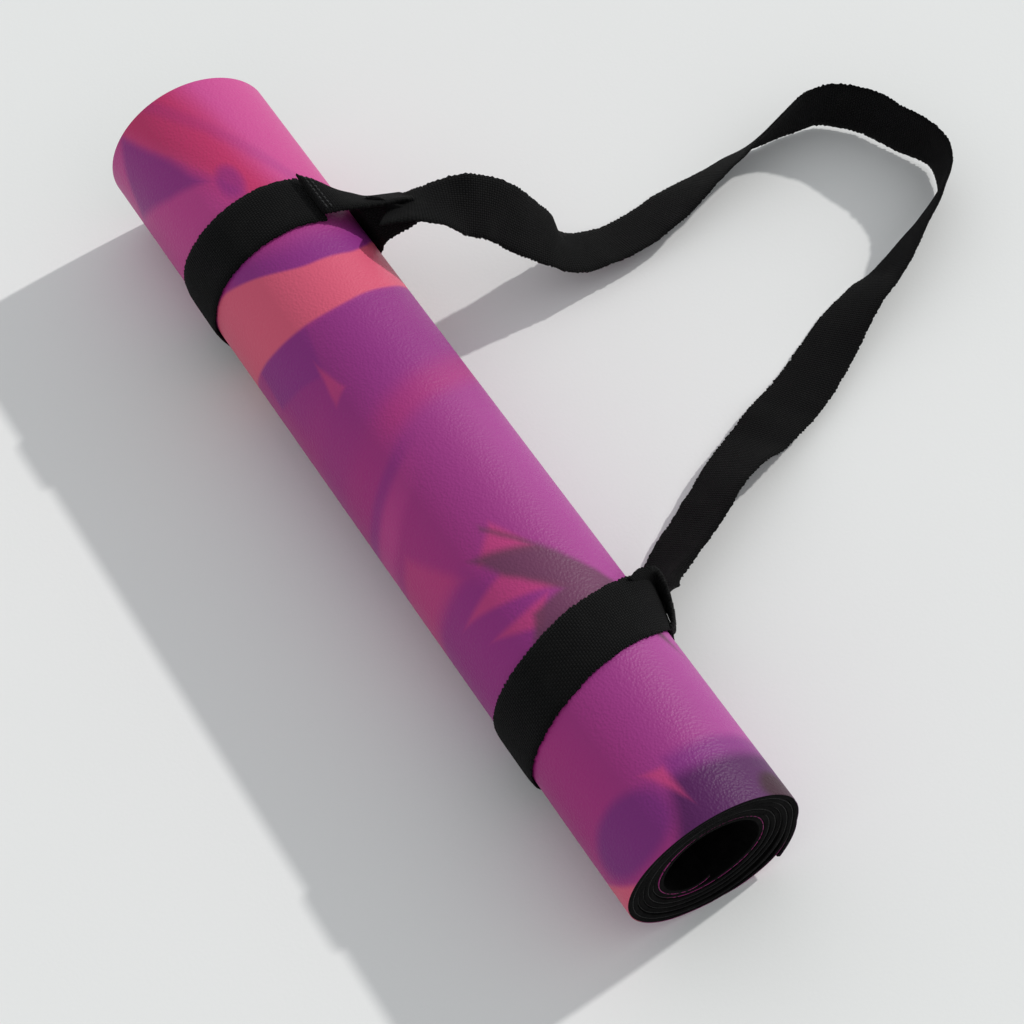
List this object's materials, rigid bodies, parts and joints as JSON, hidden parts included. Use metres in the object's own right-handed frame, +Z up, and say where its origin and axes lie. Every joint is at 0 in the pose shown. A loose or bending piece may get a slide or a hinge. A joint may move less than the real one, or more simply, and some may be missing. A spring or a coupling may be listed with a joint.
{
  "type": "rolled exercise mat",
  "caption": "Thin exercise mat wound into a roll, printed face outwards on a rubber base, with a webbing carry sling noosed round both ends and its free length lying beside it.",
  "frame": {"origin": "on the floor, under the middle of the roll", "axes": "+Y along the roll from its near end to its far end, +Z up, +X towards the side on which the carry strap lies"},
  "size_m": [0.4881, 0.61, 0.1125],
  "materials": {
    "print": "printed microfibre face with a fine suede grain and a soft satin sheen",
    "base": "matte black foamed rubber, finely pitted where it is cut",
    "webbing": "matte black cotton webbing, plain weave",
    "thread": "black sewing thread"
  },
  "bodies": {
    "mat": {"mat_print_layer": "print", "mat_rubber_base": "base"},
    "far_noose": {"far_noose_band": "webbing", "far_eye": "webbing", "far_eye_stitching": "thread", "carry_strap": "webbing"},
    "near_noose": {"near_noose_band": "webbing", "near_eye": "webbing", "near_eye_stitching": "thread"}
  },
  "joints": [
    {"name": "sling_slide", "type": "slide", "parent": "mat", "child": "far_noose", "axis": [0, 1, 0], "range_m": [-0.03, 0.08]},
    {"name": "near_noose_slide", "type": "slide", "parent": "far_noose", "child": "near_noose", "axis": [0, 1, 0], "range_m": [-0.02, 0.05]}
  ]
}
